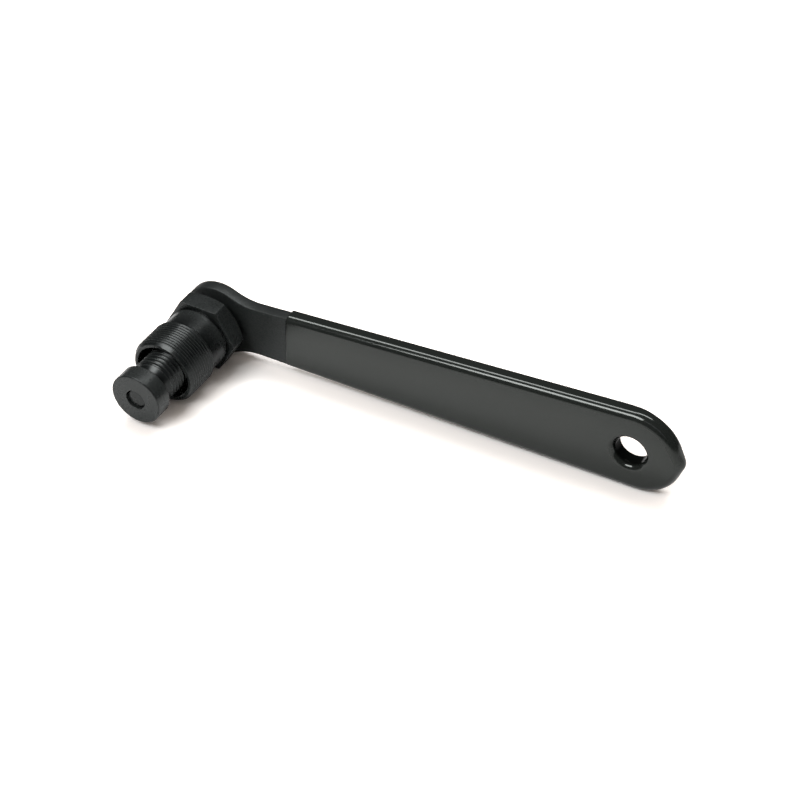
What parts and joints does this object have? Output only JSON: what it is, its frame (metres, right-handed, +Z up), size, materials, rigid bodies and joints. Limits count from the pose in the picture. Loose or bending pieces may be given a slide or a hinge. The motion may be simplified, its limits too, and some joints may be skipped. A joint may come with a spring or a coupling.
{
  "type": "crank puller",
  "caption": "Crank arm puller: a hollow threaded body with a hex, a screw with a swivel foot, and a flat lever with a dipped vinyl grip and a hanging hole.",
  "frame": {"origin": "on the screw's axis, at the rear end of the full crank thread", "axes": "+Z up, +X along the lever towards its hanging hole, -Y along the screw towards the swivel foot"},
  "size_m": [0.1692, 0.0485, 0.0276],
  "materials": {
    "oxide_steel": "black oxide, satin",
    "bar_steel": "black oxide, satin",
    "grip_vinyl": "dipped vinyl, semi-gloss"
  },
  "bodies": {
    "puller_body": {"puller_body": "oxide_steel"},
    "foot": {"swivel_foot": "oxide_steel"},
    "lever": {"lever_bar": "bar_steel", "vinyl_grip": "grip_vinyl", "screw_spindle": "oxide_steel"}
  },
  "joints": [
    {"name": "foot_feed", "type": "slide", "parent": "puller_body", "child": "foot", "axis": [0, -1, 0], "range_m": [-0.01651, 0.00201]},
    {"name": "lever_turn", "type": "hinge", "parent": "foot", "child": "lever", "pos_m": [0, 0, 0], "axis": [0, -1, 0], "range_deg": [-3960, 480]}
  ],
  "couplings": [
    {"joint": "foot_feed", "follows": "lever_turn", "m_per_rad": 0.00023873}
  ]
}
